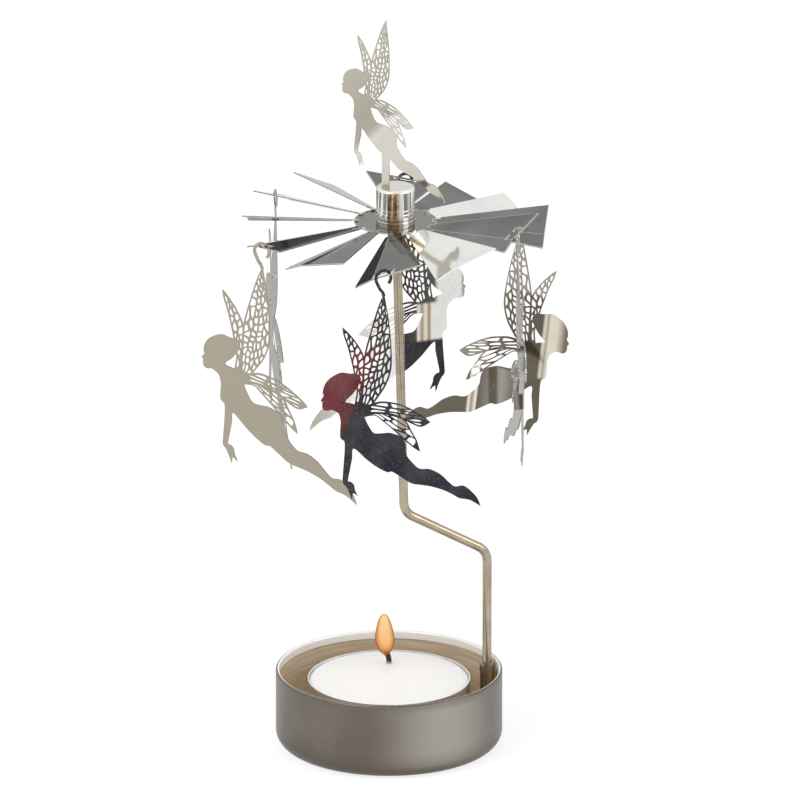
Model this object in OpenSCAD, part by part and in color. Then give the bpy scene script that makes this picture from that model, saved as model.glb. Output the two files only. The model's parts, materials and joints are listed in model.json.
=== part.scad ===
/* [Dish] */
// Outer diameter of the dish
dish_d = 53; // [53:0.1:58]
// Height of the dish, foot to rim
dish_h = 18.3; // [16:0.1:22]
// Thickness of the dish wall
dish_wall = 0.5; // [0.4:0.05:0.8]
// Thickness of the dish floor
dish_floor_t = 0.6; // [0.5:0.05:1]
// Outside radius of the corner between floor and wall
dish_corner_r = 3.6; // [2:0.1:5]
// Height of the hem folded down inside the rim
hem_h = 1.9; // [1:0.1:3]
// Thickness that the hem adds to the wall
hem_t = 0.35; // [0.2:0.05:0.5]

/* [Tealight] */
// Diameter of the tealight cup
cup_d = 38; // [36:0.1:39]
// Height of the tealight cup
cup_h = 15.3; // [13:0.1:17]
// Thickness of the cup's foil
cup_wall = 0.25; // [0.15:0.05:0.4]
// Rise of the wax from its edge to the wick
wax_rise = 3.9; // [1:0.1:5]
// Diameter of the wick
wick_d = 1.2; // [0.8:0.1:2]
// Length of wick that stands out of the wax
wick_out = 4; // [3:0.1:6]
// Diameter of the steel tab under the wick
tab_d = 12.5; // [8:0.5:16]

/* [Stem] */
// Diameter of the stem's wire
rod_d = 2.1; // [1.8:0.05:2.4]
// Distance of the leg from the dish's axis
leg_reach = 23.7; // [22.6:0.1:23.8]
// Direction of the leg seen from above, in degrees
leg_turn = 14.7; // [0:0.1:60]
// Height of the lower bend
lower_bend_z = 45.2; // [41:0.1:51]
// Height of the upper bend
upper_bend_z = 56.6; // [53:0.1:63]
// Distance of the upper bend from the spin axis
upper_bend_reach = 2.1; // [0:0.1:4]
// Radius of both bends, at the wire's centre
bend_r = 4.2; // [3:0.1:6]
// Sideways offset of the spin axis from the dish's axis
pivot_x = 1.5; // [-2:0.1:2]
// Height of the needle's point
tip_z = 134.8; // [126:0.1:146]

/* [Rotor] */
// Diameter of the cap
cap_d = 9; // [8:0.1:11]
// Height of the cap above the fan
cap_h = 8.6; // [7:0.1:11]
// Tip radius of the fan blades
fan_r = 35; // [33:0.1:38]
// Radius of the uncut middle of the fan
fan_core_r = 9.6; // [8:0.1:11]
// Width of a blade at its tip
blade_w = 16.4; // [13:0.1:17]
// Pitch of the blades, in degrees
blade_pitch = 17; // [10:0.5:22]
// Direction of the first blade seen from above, in degrees
fan_turn = 27.5; // [0:0.5:30]
// Thickness of the fan's sheet
fan_t = 0.35; // [0.25:0.05:0.5]

/* [Figures] */
// Height of a hanging figure, hook included
figure_h = 61; // [50:0.5:64]
// Height of the top figure as a share of a hanging one
top_share = 0.75; // [0.6:0.01:0.8]
// Thickness of the figures' sheet
figure_t = 0.35; // [0.25:0.05:0.4]
// Outer radius of a figure's hook
hook_r = 2.2; // [2.1:0.05:2.6]
// Width of the strip that the hook is cut from
hook_w = 0.7; // [0.5:0.05:0.75]
// Width of the rim round a wing
wing_rim_w = 0.5; // [0.35:0.05:0.7]
// Width of a vein inside a wing
vein_w = 0.36; // [0.25:0.02:0.5]

/* [Hidden] */
$fn = 96;

// Overrun of every cut past the face that it leaves
over = 0.5;
// Radial clearance of the stem in its socket
rod_fit = 0.05;
// Clearance of pieces that are pressed or crimped together
press_gap = 0.02;
// Clearance between a hook and the strip that it hangs on
hook_gap = 0.08;
// Clearance over the needle's point
point_gap = 0.04;

// How far a straight wire runs on into its bend, and how much a bend swells
bend_lap = 0.25;
bend_swell = 0.02;

// Dish, from the values above
dish_r = dish_d / 2;
dish_inner_r = dish_r - dish_wall;
hem_inner_r = dish_inner_r - hem_t;
inner_corner_r = dish_corner_r - dish_wall;

// Socket that holds the leg
rod_r = rod_d / 2;
socket_wall = 0.5;
socket_r = rod_r + rod_fit + socket_wall;
socket_foot_z = 5.6;
collar_h = 2;
collar_lip = 0.15;
socket_drop = 0.7;
socket_top_z = dish_h - socket_drop;
weld_gap = 0.02;
weld_w = 1.6;
weld_inset = 0.6;

// Stem, in the upright plane through its leg and the spin axis
leg_x = leg_reach * cos(leg_turn);
leg_y = leg_reach * sin(leg_turn);
stem_turn = atan2(leg_y, leg_x - pivot_x);
leg_span = norm([leg_x - pivot_x, leg_y]);

// The leg's foot meets the rounded corner inside the dish, so it stands a little over the floor
foot_overhang = min(inner_corner_r, max(0, leg_reach + rod_r + rod_fit - dish_inner_r + inner_corner_r));
foot_rise = inner_corner_r - sqrt(inner_corner_r * inner_corner_r - foot_overhang * foot_overhang);
foot_z = dish_floor_t + foot_rise + rod_fit;
needle_h = 6;
needle_point_r = 0.12;

// Tealight: it stands in the dish's middle, unless the socket pushes it aside
cup_r = cup_d / 2;
cup_gap = 0.3;
cup_shift = max(0, cup_r + cup_gap + socket_r + collar_lip - leg_reach);
cup_inner_r = cup_r - cup_wall;
wax_gap = 0.05;
wax_r = cup_inner_r - wax_gap;
wax_edge_drop = 0.3;
wax_edge_z = dish_floor_t + cup_h - wax_edge_drop;
wick_r = wick_d / 2;
wick_fit = 0.04;
wick_lean = 24;
wick_bend_r = 5;
tab_t = 0.25;
tab_neck_h = 2.4;
tab_neck_wall = 0.35;
cup_floor_z = dish_floor_t + cup_wall;
wax_top_z = wax_edge_z + wax_rise;

// Rotor: the fan's sheet lies at fan_z, the cap stands on it
cap_r = cap_d / 2;
cap_roof_t = 1.7;
cap_wall = 1.5;
cap_edge_r = 0.7;
seat_t = 1.5;
seat_dimple_r = 1.1;
seat_dimple_h = 1.1;
seat_foot_z = tip_z + point_gap - seat_dimple_h;
seat_top_z = seat_foot_z + seat_t;
cap_top_z = seat_top_z + cap_roof_t;
fan_z = cap_top_z - cap_h;
fan_top_z = fan_z + fan_t / 2;
fan_foot_z = fan_z - fan_t / 2;
spigot_r = 3.6;
spigot_h = 1.7;
cap_bore_r = cap_r - cap_wall;
groove_w = 0.45;
groove_depth = 0.22;
groove_land_w = 0.5;
groove_step = groove_w + groove_land_w;
groove_count = 4;
collar_r = 5;
collar_t = 1.3;

// Blades: a plate and a narrow facet that is bent down along a radial crease
blade_count = 12;
blade_root_w = 3.9;
blade_root_r = fan_core_r + 0.7;
blade_neck_w = 2.6;
crease_share = 0.27;
crease_bend = 9;
crease_lap = 0.12;

// Slots: every second blade has one, and a strip is left outside it
hanger_count = 6;
strip_w = 0.5;
slot_w = 1.7;
slot_l = 5.4;
slot_shift = -strip_w * 2;

// The blades are bent by hand: how far each is turned, twisted and let down, in degrees
blade_turns = [5, 1, 0.5, 2, -2.5, -3, 1.5, 0, -0.5, 0, -1, -3];
blade_twists = [0, -0.5, -7, 8, 3, 2, -7.5, -4.5, 2, 0, -1, 0];
blade_droops = [9, 9, 2, 1, 0, 0, 2, 2, 3.5, 0, -8.5, 0];

// Which blades the figures a to f hang from, and how they are turned and tilted, in degrees
hanger_blades = [6, 8, 0, 2, 10, 4];
swivels = [53.5, 66, 56, 66, 49.5, 46];
tilts = [0, 0, 7, 0, 0, 0];

// Where a hook's ring ends, and how wide it stands open after that, in degrees
hook_end_turn = 204;
hook_gap_turn = 108;

// Narrowest cell that is cut out of a wing
cell_least_w = 0.15;

// Post of the top figure, and how far its toe reaches below the cap's top
toe_drop = 0.6;
hip_share = -0.76;
post_w = 2;
post_depth = 1.3;
post_reach = 2.7;
post_turn = 214;
top_turn = -34;
top_tilt = -2;

// Outline of the figures, as shares of figure_h from the top of the hook. Every
// outline in this file runs the same way round, anticlockwise.
body_shares = [
  [-0.155, -0.508], [-0.124, -0.480], [-0.101, -0.449], [-0.092, -0.424],
  [-0.106, -0.405], [-0.134, -0.400], [-0.170, -0.392], [-0.200, -0.401],
  [-0.226, -0.418], [-0.241, -0.444], [-0.244, -0.466], [-0.241, -0.476],
  [-0.252, -0.493], [-0.245, -0.499], [-0.248, -0.505], [-0.245, -0.510],
  [-0.247, -0.516], [-0.242, -0.530], [-0.228, -0.536], [-0.212, -0.534],
  [-0.197, -0.541], [-0.180, -0.556], [-0.172, -0.588], [-0.174, -0.620],
  [-0.173, -0.652], [-0.158, -0.668], [-0.156, -0.696], [-0.159, -0.746],
  [-0.163, -0.795], [-0.164, -0.832], [-0.150, -0.851], [-0.137, -0.880],
  [-0.128, -0.903], [-0.128, -0.903], [-0.124, -0.879], [-0.104, -0.893],
  [-0.104, -0.893], [-0.116, -0.866], [-0.120, -0.845], [-0.132, -0.832],
  [-0.144, -0.826], [-0.137, -0.785], [-0.128, -0.740], [-0.121, -0.700],
  [-0.067, -0.752], [-0.024, -0.788], [0.014, -0.811], [0.034, -0.812],
  [0.073, -0.840], [0.112, -0.868], [0.150, -0.879], [0.196, -0.892],
  [0.243, -0.912], [0.277, -0.932], [0.308, -0.952], [0.350, -0.965],
  [0.394, -0.995], [0.394, -0.995], [0.380, -0.960], [0.354, -0.928],
  [0.334, -0.910], [0.318, -0.904], [0.289, -0.903], [0.258, -0.875],
  [0.231, -0.847], [0.189, -0.822], [0.146, -0.814], [0.112, -0.780],
  [0.091, -0.748], [0.089, -0.715], [0.079, -0.684], [0.053, -0.667],
  [0.024, -0.656], [-0.010, -0.654], [-0.039, -0.648], [-0.061, -0.616],
  [-0.077, -0.578], [-0.082, -0.545], [-0.103, -0.531], [-0.126, -0.520]
];
// Each wing is two edges from root to tip, then its rows of cells
main_wing_shares = [
  [[-0.116, -0.572], [-0.090, -0.470], [-0.083, -0.390], [-0.074, -0.322],
   [-0.045, -0.222], [-0.021, -0.150], [0.003, -0.098]],
  [[-0.090, -0.588], [-0.028, -0.515], [0.010, -0.462], [0.031, -0.400],
   [0.032, -0.322], [0.023, -0.220], [0.003, -0.098]]
];
small_wing_shares = [
  [[-0.126, -0.565], [-0.108, -0.480], [-0.115, -0.430], [-0.124, -0.375],
   [-0.142, -0.300], [-0.160, -0.245], [-0.165, -0.211]],
  [[-0.098, -0.575], [-0.082, -0.475], [-0.077, -0.400], [-0.080, -0.335],
   [-0.108, -0.281], [-0.138, -0.240], [-0.165, -0.211]]
];
upper_trail_shares = [
  [[-0.112, -0.548], [-0.020, -0.526], [0.053, -0.541], [0.098, -0.562],
   [0.136, -0.587], [0.165, -0.609], [0.190, -0.633]],
  [[-0.108, -0.576], [-0.020, -0.574], [0.030, -0.588], [0.074, -0.606],
   [0.112, -0.629], [0.152, -0.647], [0.190, -0.633]]
];
lower_trail_shares = [
  [[-0.112, -0.556], [-0.012, -0.568], [0.050, -0.586], [0.092, -0.618],
   [0.114, -0.660], [0.135, -0.700], [0.148, -0.746]],
  [[-0.108, -0.584], [-0.040, -0.578], [-0.006, -0.603], [0.034, -0.641],
   [0.077, -0.684], [0.118, -0.724], [0.148, -0.746]]
];
// Lower end of the hook, from its ring down to the tip of the main wing
shank_shares = [[-0.014, -0.078], [-0.003, -0.092], [0.002, -0.108]];

// A point of a smooth curve between b and c
function blend_point(a, b, c, d, t) =
  (2 * b + (c - a) * t + (2 * a - 5 * b + 4 * c - d) * t * t + (3 * b - a - 3 * c + d) * t * t * t) / 2;

// A smooth closed line through points, with n steps to each; a doubled point is a sharp corner
function smooth_loop(pts, n) =
  let (m = len(pts))
  [for (i = [0:m - 1]) if (pts[i] != pts[(i + 1) % m]) for (k = [0:n - 1])
    blend_point(pts[(i + m - 1) % m], pts[i], pts[(i + 1) % m], pts[(i + 2) % m], k / n)];

// The place at t, from 0 to 1, along a smooth open line
function along(pts, t) =
  let (m = len(pts), i = min(floor(t * (m - 1)), m - 2), f = t * (m - 1) - i)
  blend_point(pts[max(i - 1, 0)], pts[i], pts[i + 1], pts[min(i + 2, m - 1)], f);

function smooth_line(pts, n) = [for (k = [0:n]) along(pts, k / n)];

// Places in a wing: t runs from root to tip, s from one edge to the other
function in_wing(wing, t, s) = along(wing[0], t) * (1 - s) + along(wing[1], t) * s;
function wing_w(wing, t) = norm(along(wing[1], t) - along(wing[0], t));

// Metal left beside a cell, as a width and as a share of the wing's width
function cell_edge_w(s) = (s < 0.01 || s > 0.99) ? wing_rim_w : vein_w / 2;
function cell_margin(wing, t, s) = cell_edge_w(s) / max(wing_w(wing, t), vein_w);

// Clear width of a cell at t
function cell_room(wing, t, s0, s1) = wing_w(wing, t) * (s1 - s0) - cell_edge_w(s0) - cell_edge_w(s1);

// One cell between t0 and t1 and between s0 and s1, slanted with s
function wing_cell(wing, t0, t1, s0, s1, slant) =
  let (
    ts = [t0, (t0 + t1) / 2, t1],
    low = [for (t = ts) let (s = s0 + cell_margin(wing, t, s0)) in_wing(wing, t + slant * (s - 0.5), s)],
    high = [for (t = ts) let (s = s1 - cell_margin(wing, t, s1)) in_wing(wing, t + slant * (s - 0.5), s)]
  )
  concat(low, [high[2], high[1], high[0]]);

// Outline in millimetres, from the centre of the hook's ring
function placed(shares) = [for (p = shares) [p[0] * figure_h, p[1] * figure_h + hook_r]];
function placed_wing(wing) = [placed(wing[0]), placed(wing[1])];

// Half of the strip's width as a hook sees it that is turned by swivel from square
function strip_half(swivel) = (strip_w / 2 + figure_t / 2 * sin(swivel)) / cos(swivel);

// Direction and pitch of blade n
function blade_turn(n) = fan_turn + n * 360 / blade_count + blade_turns[n];
function blade_tilt(n) = blade_pitch + blade_twists[n];

// Height of the middle of blade n's strip over the centre of a ring that hangs on it
function strip_rise(n, swivel) =
  let (
    half = strip_half(swivel),
    clear_r = hook_r - hook_w - hook_gap,
    slope = sin(swivel) * tan(blade_tilt(n)) + cos(swivel) * tan(abs(blade_droops[n]))
  )
  sqrt(clear_r * clear_r - half * half) - half * slope
    - fan_t / 2 / cos(blade_tilt(n)) / cos(blade_droops[n]);

// Centre of the ring of hanging figure i
function hook_centre(i) =
  let (
    n = hanger_blades[i],
    turn = blade_turn(n),
    droop = blade_droops[n],
    out = fan_r - strip_w / 2 - fan_core_r,
    side = slot_shift * cos(blade_tilt(n)),
    up = slot_shift * sin(blade_tilt(n)),
    r = fan_core_r + out * cos(droop) + up * sin(droop)
  )
  [
    pivot_x + r * cos(turn) - side * sin(turn),
    r * sin(turn) + side * cos(turn),
    fan_z + up * cos(droop) - out * sin(droop) - strip_rise(n, swivels[i])
  ];

// Direction in which the feet of hanging figure i point
function feet_turn(i) = blade_turn(hanger_blades[i]) - swivels[i] + 180;

// A wire through points of an upright plane, bent to radius r at each middle point
function unit(v) = v / norm(v);
function bend_angle(pts, i) =
  let (a = unit(pts[i] - pts[i - 1]), b = unit(pts[i + 1] - pts[i]))
  atan2(a[0] * b[1] - a[1] * b[0], a[0] * b[0] + a[1] * b[1]);
function bend_cut(pts, i, r) =
  (i == 0 || i == len(pts) - 1) ? 0 : r * tan(abs(bend_angle(pts, i)) / 2);

module bent_wire(pts, r, wire_r) {
  for (i = [0:len(pts) - 2]) {
    dir = unit(pts[i + 1] - pts[i]);
    start = pts[i] + dir * (bend_cut(pts, i, r) - (i == 0 ? 0 : bend_lap));
    end = pts[i + 1] - dir * (bend_cut(pts, i + 1, r) - (i == len(pts) - 2 ? 0 : bend_lap));
    translate([start[0], 0, start[1]])
      rotate([0, 90 - atan2(dir[1], dir[0]), 0])
        cylinder(h = norm(end - start), r = wire_r);
  }
  for (i = [1:1:len(pts) - 2]) {
    dir = unit(pts[i] - pts[i - 1]);
    angle = bend_angle(pts, i);
    hand = sign(angle);
    start = pts[i] - dir * bend_cut(pts, i, r);
    centre = start + [-dir[1], dir[0]] * hand * r;
    from = atan2(start[1] - centre[1], start[0] - centre[0]);
    translate([centre[0], 0, centre[1]])
      rotate([90, 0, 0])
        rotate([0, 0, min(from, from + angle)])
          rotate_extrude(angle = abs(angle))
            translate([r, 0])
              circle(r = wire_r + bend_swell);
  }
}

// Half section of a round vessel with a rounded foot
module vessel_section(r, h, corner) {
  square([r - corner, h]);
  translate([0, corner])
    square([r, h - corner]);
  translate([r - corner, corner])
    intersection() {
      circle(r = corner);
      translate([0, -corner])
        square([corner, corner * 2]);
    }
}

module base_dish() {
  bead_r = (dish_wall + hem_t) / 2;
  color("darkgray")
    rotate_extrude() {
      difference() {
        vessel_section(dish_r, dish_h - bead_r, dish_corner_r);
        translate([0, dish_floor_t])
          vessel_section(dish_inner_r, dish_h, inner_corner_r);
      }
      translate([hem_inner_r, dish_h - hem_h])
        square([hem_t + dish_wall / 2, hem_h - bead_r]);
      translate([hem_inner_r + bead_r, dish_h - bead_r])
        circle(r = bead_r);
    }
}

// Sleeve and collar welded to the inside of the wall
module stem_socket() {
  bore_r = rod_r + rod_fit;
  weld_h = socket_top_z - socket_foot_z - collar_h - weld_inset * 2;
  color("gainsboro")
    difference() {
      union() {
        translate([leg_x, leg_y, socket_foot_z])
          cylinder(h = socket_top_z - socket_foot_z, r = socket_r);
        translate([leg_x, leg_y, socket_top_z - collar_h])
          cylinder(h = collar_h, r = socket_r + collar_lip);
        intersection() {
          rotate([0, 0, leg_turn])
            translate([leg_reach, -weld_w / 2, socket_foot_z + weld_inset])
              cube([dish_r - leg_reach, weld_w, weld_h]);
          translate([0, 0, socket_foot_z])
            cylinder(h = dish_h, r = dish_inner_r - weld_gap);
        }
      }
      translate([leg_x, leg_y, socket_foot_z - over])
        cylinder(h = dish_h, r = bore_r);
    }
}

module stem_rod() {
  foot = [leg_span, foot_z];
  shoulder = [leg_span, lower_bend_z];
  elbow = [upper_bend_reach, upper_bend_z];
  upright = unit([0, tip_z] - elbow);
  needle_foot = [0, tip_z] - upright * needle_h;
  color("tan")
    translate([pivot_x, 0, 0])
      rotate([0, 0, stem_turn]) {
        bent_wire([foot, shoulder, elbow, needle_foot], bend_r, rod_r);
        translate([needle_foot[0], 0, needle_foot[1]] - [upright[0], 0, upright[1]] * bend_lap)
          rotate([0, 90 - atan2(upright[1], upright[0]), 0])
            cylinder(h = needle_h + bend_lap, r1 = rod_r - bend_swell / 2, r2 = needle_point_r);
      }
}

// Moves a piece of the tealight with it
module in_tealight(z) {
  translate([-cup_shift * cos(leg_turn), -cup_shift * sin(leg_turn), z])
    children();
}

module tealight_cup() {
  color("silver")
    in_tealight(dish_floor_t)
      difference() {
        cylinder(h = cup_h, r = cup_r);
        translate([0, 0, cup_wall])
          cylinder(h = cup_h, r = cup_inner_r);
      }
}

// Half section of the wax: a dome that falls away to a rounded edge
wax_dome_shares = [[0, 1], [0.18, 0.955], [0.4, 0.75], [0.62, 0.48], [0.82, 0.24], [0.95, 0.09], [1, -0.1]];
module wax() {
  color("ivory")
    in_tealight(cup_floor_z)
      difference() {
        rotate_extrude()
          polygon(concat(
            [[0, 0]],
            [for (p = smooth_line(wax_dome_shares, 18))
              [p[0] * wax_r, wax_edge_z - cup_floor_z + p[1] * wax_rise]],
            [[wax_r, 0]]
          ));
        translate([0, 0, -over])
          cylinder(h = wax_top_z, r = wick_r + wick_fit);
        translate([0, 0, -over])
          cylinder(h = tab_t + wax_gap + over, r = tab_d / 2 + wax_gap);
        translate([0, 0, -over])
          cylinder(h = tab_neck_h + wax_gap + over, r = wick_r + wick_fit + tab_neck_wall + wax_gap);
      }
}

module wick_sustainer() {
  color("silver")
    in_tealight(cup_floor_z)
      difference() {
        union() {
          cylinder(h = tab_t, r = tab_d / 2);
          cylinder(h = tab_neck_h, r = wick_r + wick_fit + tab_neck_wall);
        }
        translate([0, 0, -over])
          cylinder(h = tab_neck_h + over * 2, r = wick_r + wick_fit);
      }
}

// The wick stands straight in the wax and leans over where it has burnt
module wick() {
  lean_dir = [-sin(wick_lean), cos(wick_lean)];
  knee = [0, wax_top_z + wick_out / 3];
  color("dimgray")
    in_tealight(0)
      bent_wire([[0, cup_floor_z], knee, knee + lean_dir * wick_out * 2 / 3], wick_bend_r, wick_r);
}

// Section of the cap: a roof with a rounded edge, a wall and a spigot through the fan
module hub_cap() {
  color("whitesmoke")
    translate([pivot_x, 0, 0])
      difference() {
        union() {
          translate([0, 0, fan_top_z])
            cylinder(h = cap_top_z - cap_edge_r - fan_top_z, r = cap_r);
          translate([0, 0, cap_top_z - cap_edge_r])
            cylinder(h = cap_edge_r, r = cap_r - cap_edge_r);
          translate([0, 0, cap_top_z - cap_edge_r])
            rotate_extrude()
              translate([cap_r - cap_edge_r, 0])
                intersection() {
                  circle(r = cap_edge_r);
                  square([cap_edge_r, cap_edge_r]);
                }
          translate([0, 0, fan_foot_z - spigot_h])
            cylinder(h = spigot_h + cap_h / 2, r = spigot_r);
        }
        translate([0, 0, fan_foot_z - spigot_h - over])
          cylinder(h = seat_top_z - fan_foot_z + spigot_h + over, r = cap_bore_r);
        for (i = [1:groove_count])
          translate([0, 0, fan_top_z + groove_step * i - groove_w])
            difference() {
              cylinder(h = groove_w, r = cap_r + over);
              translate([0, 0, -over])
                cylinder(h = groove_w + over * 2, r = cap_r - groove_depth);
            }
        rotate([0, 0, post_turn])
          translate([post_reach, 0, cap_top_z - post_depth - press_gap])
            rotate([0, 0, top_turn - post_turn])
              translate([-post_w / 2 - press_gap, -figure_t / 2 - press_gap, 0])
                cube([post_w + press_gap * 2, figure_t + press_gap * 2, post_depth + over]);
      }
}

// Hard disc pressed into the cap, with a dimple for the needle's point
module pivot_seat() {
  color("slategray")
    translate([pivot_x, 0, seat_foot_z])
      difference() {
        cylinder(h = seat_t, r = cap_bore_r - press_gap);
        translate([0, 0, -over])
          cylinder(h = seat_dimple_h + over, r1 = seat_dimple_r * (1 + over / seat_dimple_h), r2 = 0);
      }
}

// Ring that holds the fan against the cap's shoulder
module fan_collar() {
  color("silver")
    translate([pivot_x, 0, fan_foot_z - collar_t])
      difference() {
        cylinder(h = collar_t, r = collar_r);
        translate([0, 0, -over])
          cylinder(h = collar_t + over * 2, r = spigot_r + press_gap);
      }
}

// Half width of a blade at a distance r from the axis
function blade_half(r) =
  (blade_root_w + (blade_w - blade_root_w) * (r - blade_root_r) / (fan_r - blade_root_r)) / 2;
function crease_side(r) = -blade_half(r) + crease_share * blade_half(r) * 2;

// Blade n along +X, let down at the fan's core and pitched about its own radius
module blade(n) {
  slotted = n % (blade_count / hanger_count) == 0;
  root = [blade_root_r, crease_side(blade_root_r)];
  tip = [fan_r, crease_side(fan_r)];
  crease_turn = atan2(tip[1] - root[1], tip[0] - root[0]);
  translate([fan_core_r, 0, 0])
    rotate([0, blade_droops[n], 0])
      translate([-fan_core_r, 0, 0])
        rotate([blade_tilt(n), 0, 0])
          difference() {
            union() {
              translate([0, 0, -fan_t / 2])
                linear_extrude(fan_t)
                  polygon([
                    root,
                    tip,
                    [fan_r, blade_half(fan_r)],
                    [blade_root_r, blade_half(blade_root_r)]
                  ]);
              translate([root[0], root[1], 0])
                rotate([0, 0, crease_turn])
                  rotate([crease_bend, 0, 0])
                    translate([0, 0, -fan_t / 2])
                      linear_extrude(fan_t)
                        rotate(-crease_turn)
                          translate(-root)
                            polygon([
                              root + [0, crease_lap],
                              tip + [0, crease_lap],
                              [fan_r, -blade_half(fan_r)],
                              [blade_root_r, -blade_half(blade_root_r)]
                            ]);
              translate([fan_core_r - fan_t * 3, -blade_neck_w / 2, -fan_t / 2])
                cube([blade_root_r - fan_core_r + fan_t * 6, blade_neck_w, fan_t]);
            }
            if (slotted)
              translate([fan_r - strip_w - slot_w, slot_shift - slot_l / 2, -fan_t - over])
                cube([slot_w, slot_l, fan_t * 2 + over * 2]);
          }
}

module fan_rotor() {
  color("lightgray")
    translate([pivot_x, 0, fan_z])
      difference() {
        union() {
          translate([0, 0, -fan_t / 2])
            cylinder(h = fan_t, r = fan_core_r);
          for (n = [0:blade_count - 1])
            rotate([0, 0, blade_turn(n)])
              blade(n);
        }
        translate([0, 0, -fan_t])
          cylinder(h = fan_t * 2, r = spigot_r + press_gap);
      }
}

// A strip of even width along a line of points
module ribbon(pts, w) {
  m = len(pts);
  sides = [for (i = [0:m - 1])
    let (d = unit(pts[min(i + 1, m - 1)] - pts[max(i - 1, 0)])) [-d[1], d[0]] * w / 2];
  polygon(concat(
    [for (i = [0:m - 1]) pts[i] - sides[i]],
    [for (i = [m - 1:-1:0]) pts[i] + sides[i]]
  ));
}

// The hook: most of a round ring, then a shank that curves in to the wing
module hook() {
  mean_r = hook_r - hook_w / 2;
  lap_turn = 8;
  shank = concat([[cos(hook_end_turn), sin(hook_end_turn)] * mean_r], placed(shank_shares));
  difference() {
    circle(r = hook_r);
    circle(r = hook_r - hook_w);
    polygon(concat(
      [[0, 0]],
      [for (k = [0:3])
        let (a = hook_end_turn + lap_turn + (hook_gap_turn - lap_turn) * k / 3)
        [cos(a), sin(a)] * hook_r * 2]
    ));
  }
  ribbon([for (k = [0:5]) along(shank, k / 5)], hook_w - bend_swell * 2);
}

// A wing with rows of cells, the count of cells in each row, and how far they slant
module wing(shares, columns, slant) {
  edges = placed_wing(shares);
  rows = len(columns);
  row_margin = vein_w / 2 / norm(along(edges[0], 1) - along(edges[0], 0));
  first = 0.14;
  last = 0.88;
  step = (last - first) / rows;
  difference() {
    polygon(concat(smooth_line(edges[1], 18), [for (k = [17:-1:0]) along(edges[0], k / 18)]));
    for (i = [0:rows - 1])
      for (j = [0:columns[i] - 1]) {
        t0 = first + i * step + row_margin;
        t1 = first + (i + 1) * step - row_margin;
        s0 = j / columns[i];
        s1 = (j + 1) / columns[i];
        room = min(cell_room(edges, t0 - abs(slant) / 2, s0, s1), cell_room(edges, t1 + abs(slant) / 2, s0, s1));
        if (room > cell_least_w)
          polygon(wing_cell(edges, t0, t1, s0, s1, slant));
      }
  }
}

module wings() {
  wing(main_wing_shares, [2, 3, 3, 3, 2, 1], 0.06);
  wing(small_wing_shares, [1, 2, 2, 1, 1], -0.05);
  wing(upper_trail_shares, [2, 2, 2, 1, 1], 0.05);
  wing(lower_trail_shares, [1, 2, 2, 1], -0.04);
}

module figure_outline() {
  polygon(smooth_loop(placed(body_shares), 2));
  wings();
}

// A figure that hangs from the ring's centre, with its feet towards turn
module hanging_figure(i) {
  translate(hook_centre(i))
    rotate([0, 0, feet_turn(i)])
      rotate([90, 0, 0])
        translate([0, 0, -figure_t / 2])
          linear_extrude(figure_t)
            rotate(tilts[i]) {
              figure_outline();
              hook();
            }
}

module figure_a() { color("darkkhaki") hanging_figure(0); }
module figure_b() { color("maroon") hanging_figure(1); }
module figure_c() { color("gray") hanging_figure(2); }
module figure_d() { color("dimgray") hanging_figure(3); }
module figure_e() { color("silver") hanging_figure(4); }
module figure_f() { color("lightgray") hanging_figure(5); }

// The top figure stands on a post that drops into the cap's roof
module top_figure() {
  lift = cap_top_z - toe_drop + (figure_h - hook_r) * top_share;
  hip_z = lift + (hip_share * figure_h + hook_r) * top_share;
  color("lightsteelblue")
    translate([pivot_x, 0, 0])
      rotate([0, 0, post_turn])
        translate([post_reach, 0, 0])
          rotate([0, 0, top_turn - post_turn])
            rotate([90, 0, 0])
              translate([0, 0, -figure_t / 2])
                linear_extrude(figure_t) {
                  translate([0, lift])
                    rotate(top_tilt)
                      scale(top_share)
                        figure_outline();
                  translate([-post_w / 2, cap_top_z - post_depth])
                    square([post_w, hip_z - cap_top_z + post_depth]);
                }
}

base_dish();
stem_socket();
stem_rod();
tealight_cup();
wax();
wick();
wick_sustainer();
hub_cap();
pivot_seat();
fan_rotor();
fan_collar();
top_figure();
figure_a();
figure_b();
figure_c();
figure_d();
figure_e();
figure_f();
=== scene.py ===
# %% [markdown]
# # A rotary tealight candlestick
# A metal dish holds a tealight. A bent wire carries a needle, and on the needle
# turns a fan of pitched blades, driven by the candle's warm air. Six flat
# winged figures hang from the fan and one stands on its cap.
# The measured model is loaded first and stays as it is: every piece made here
# is fitted to it and rides on one of its bodies.
# %% Open the measured model
import json
import math
import random

import bmesh
import bpy
from mathutils import Matrix, Vector


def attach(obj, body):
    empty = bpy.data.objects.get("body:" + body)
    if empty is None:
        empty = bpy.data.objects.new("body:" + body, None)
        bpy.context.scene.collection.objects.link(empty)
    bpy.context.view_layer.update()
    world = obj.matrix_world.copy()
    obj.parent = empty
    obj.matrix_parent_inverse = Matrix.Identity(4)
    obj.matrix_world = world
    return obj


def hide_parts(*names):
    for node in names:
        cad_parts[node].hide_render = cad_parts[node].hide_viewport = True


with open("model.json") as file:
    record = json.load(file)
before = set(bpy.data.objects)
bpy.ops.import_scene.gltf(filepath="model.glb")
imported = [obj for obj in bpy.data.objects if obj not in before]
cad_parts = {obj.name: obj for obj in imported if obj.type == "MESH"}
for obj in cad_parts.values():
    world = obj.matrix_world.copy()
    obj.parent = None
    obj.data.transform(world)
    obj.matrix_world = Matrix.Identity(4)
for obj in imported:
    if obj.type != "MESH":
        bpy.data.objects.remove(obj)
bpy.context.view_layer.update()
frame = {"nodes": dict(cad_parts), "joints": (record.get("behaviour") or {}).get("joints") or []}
MM = 0.001

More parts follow.
